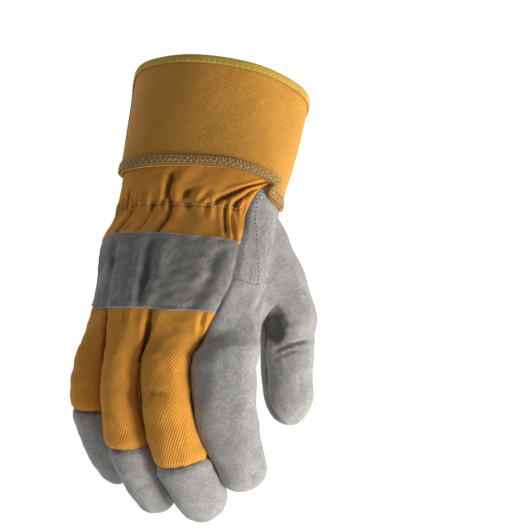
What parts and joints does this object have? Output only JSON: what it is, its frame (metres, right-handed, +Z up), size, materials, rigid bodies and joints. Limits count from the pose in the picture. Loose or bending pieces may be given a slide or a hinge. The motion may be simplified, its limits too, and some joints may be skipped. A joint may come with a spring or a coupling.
{
  "type": "rigger work glove",
  "caption": "Right-hand rigger work glove of grey split leather and orange twill, with a knuckle strap, an elastic wrist gather and a stiff canvas cuff open in a slit, lying palm down.",
  "frame": {"origin": "under the middle of the glove's bounding box, on the surface that it lies on", "axes": "+X towards the thumb's side, +Y from the fingertips to the cuff's hem, +Z up through the back of the hand"},
  "size_m": [0.128, 0.2514, 0.0816],
  "materials": {
    "grey_leather": "soft matt suede nap",
    "strap_leather": "darker matt suede nap",
    "orange_twill": "matt cotton twill",
    "cuff_canvas": "rubberised canvas, faint sheen",
    "yellow_binding": "matt woven tape",
    "tan_tape": "matt woven tape",
    "black_tape": "satin woven tape"
  },
  "bodies": {
    "root": {"palm_leather": "grey_leather", "thumb_root": "grey_leather", "index_finger": "grey_leather", "little_front": "grey_leather", "middle_ring_front": "grey_leather", "little_tip": "grey_leather", "ring_tip": "grey_leather", "middle_tip": "grey_leather", "thumb_back": "grey_leather", "thumb_front": "grey_leather", "wrist_patch": "grey_leather", "knuckle_strap": "strap_leather", "back_cloth": "orange_twill", "back_gather": "orange_twill", "cuff": "cuff_canvas", "cuff_binding": "yellow_binding", "cuff_tape": "tan_tape", "side_label": "black_tape"}
  },
  "joints": []
}
